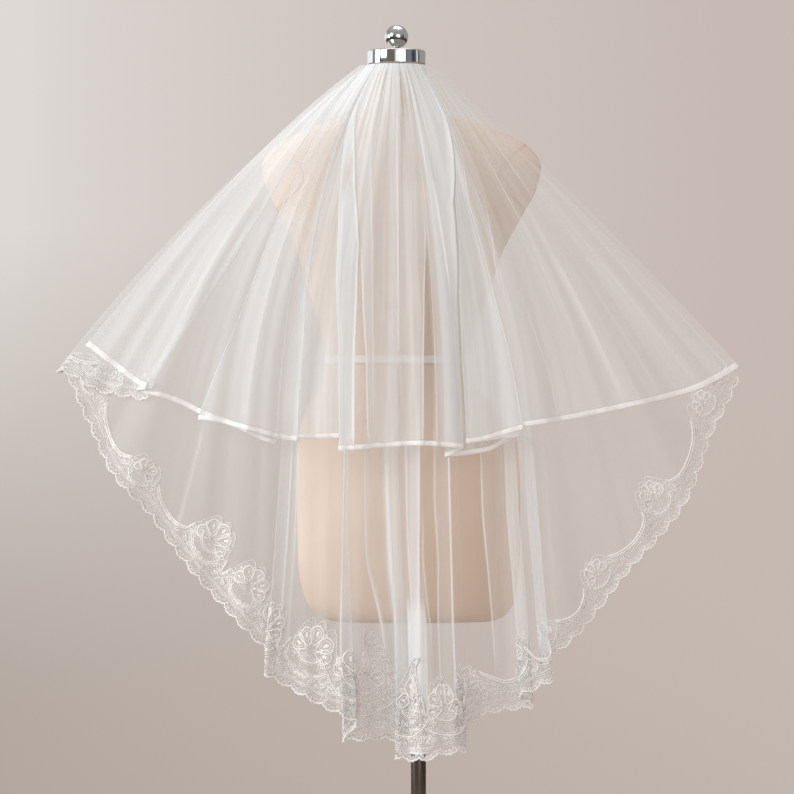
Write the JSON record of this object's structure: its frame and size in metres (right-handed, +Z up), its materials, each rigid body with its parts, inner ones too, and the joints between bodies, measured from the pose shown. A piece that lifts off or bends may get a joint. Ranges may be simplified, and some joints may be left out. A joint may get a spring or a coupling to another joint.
{
  "type": "bridal veil on dress form",
  "caption": "Tiered bridal veil of sheer tulle, ribbon-bound above and lace-edged below, gathered round the neck of a limbless dress form that stands on a pole and a round base.",
  "frame": {"origin": "under the middle of the round base, on the pole's axis, at floor level", "axes": "+Z up along the pole; -Y is the side the veil hangs on, the back of the dress form; +X is to the right of a viewer who looks at the veil"},
  "size_m": [1.0019, 0.3961, 1.5801],
  "materials": {
    "form_cover": "smooth beige knit cover",
    "waist_tape": "plain white tape",
    "polished_metal": "polished chrome",
    "stand_metal": "dark satin metal",
    "tulle": "sheer soft ivory net",
    "satin": "ivory satin ribbon",
    "lace": "ivory embroidery on net"
  },
  "bodies": {
    "root": {"form_torso": "form_cover", "waist_tape": "waist_tape", "neck_cap": "polished_metal", "finial_ball": "polished_metal", "pole": "stand_metal", "stand_base": "stand_metal", "gather_band": "satin", "upper_tier": "tulle", "ribbon_binding": "satin", "lower_tier": "tulle", "lace_edging": "lace"}
  },
  "joints": []
}
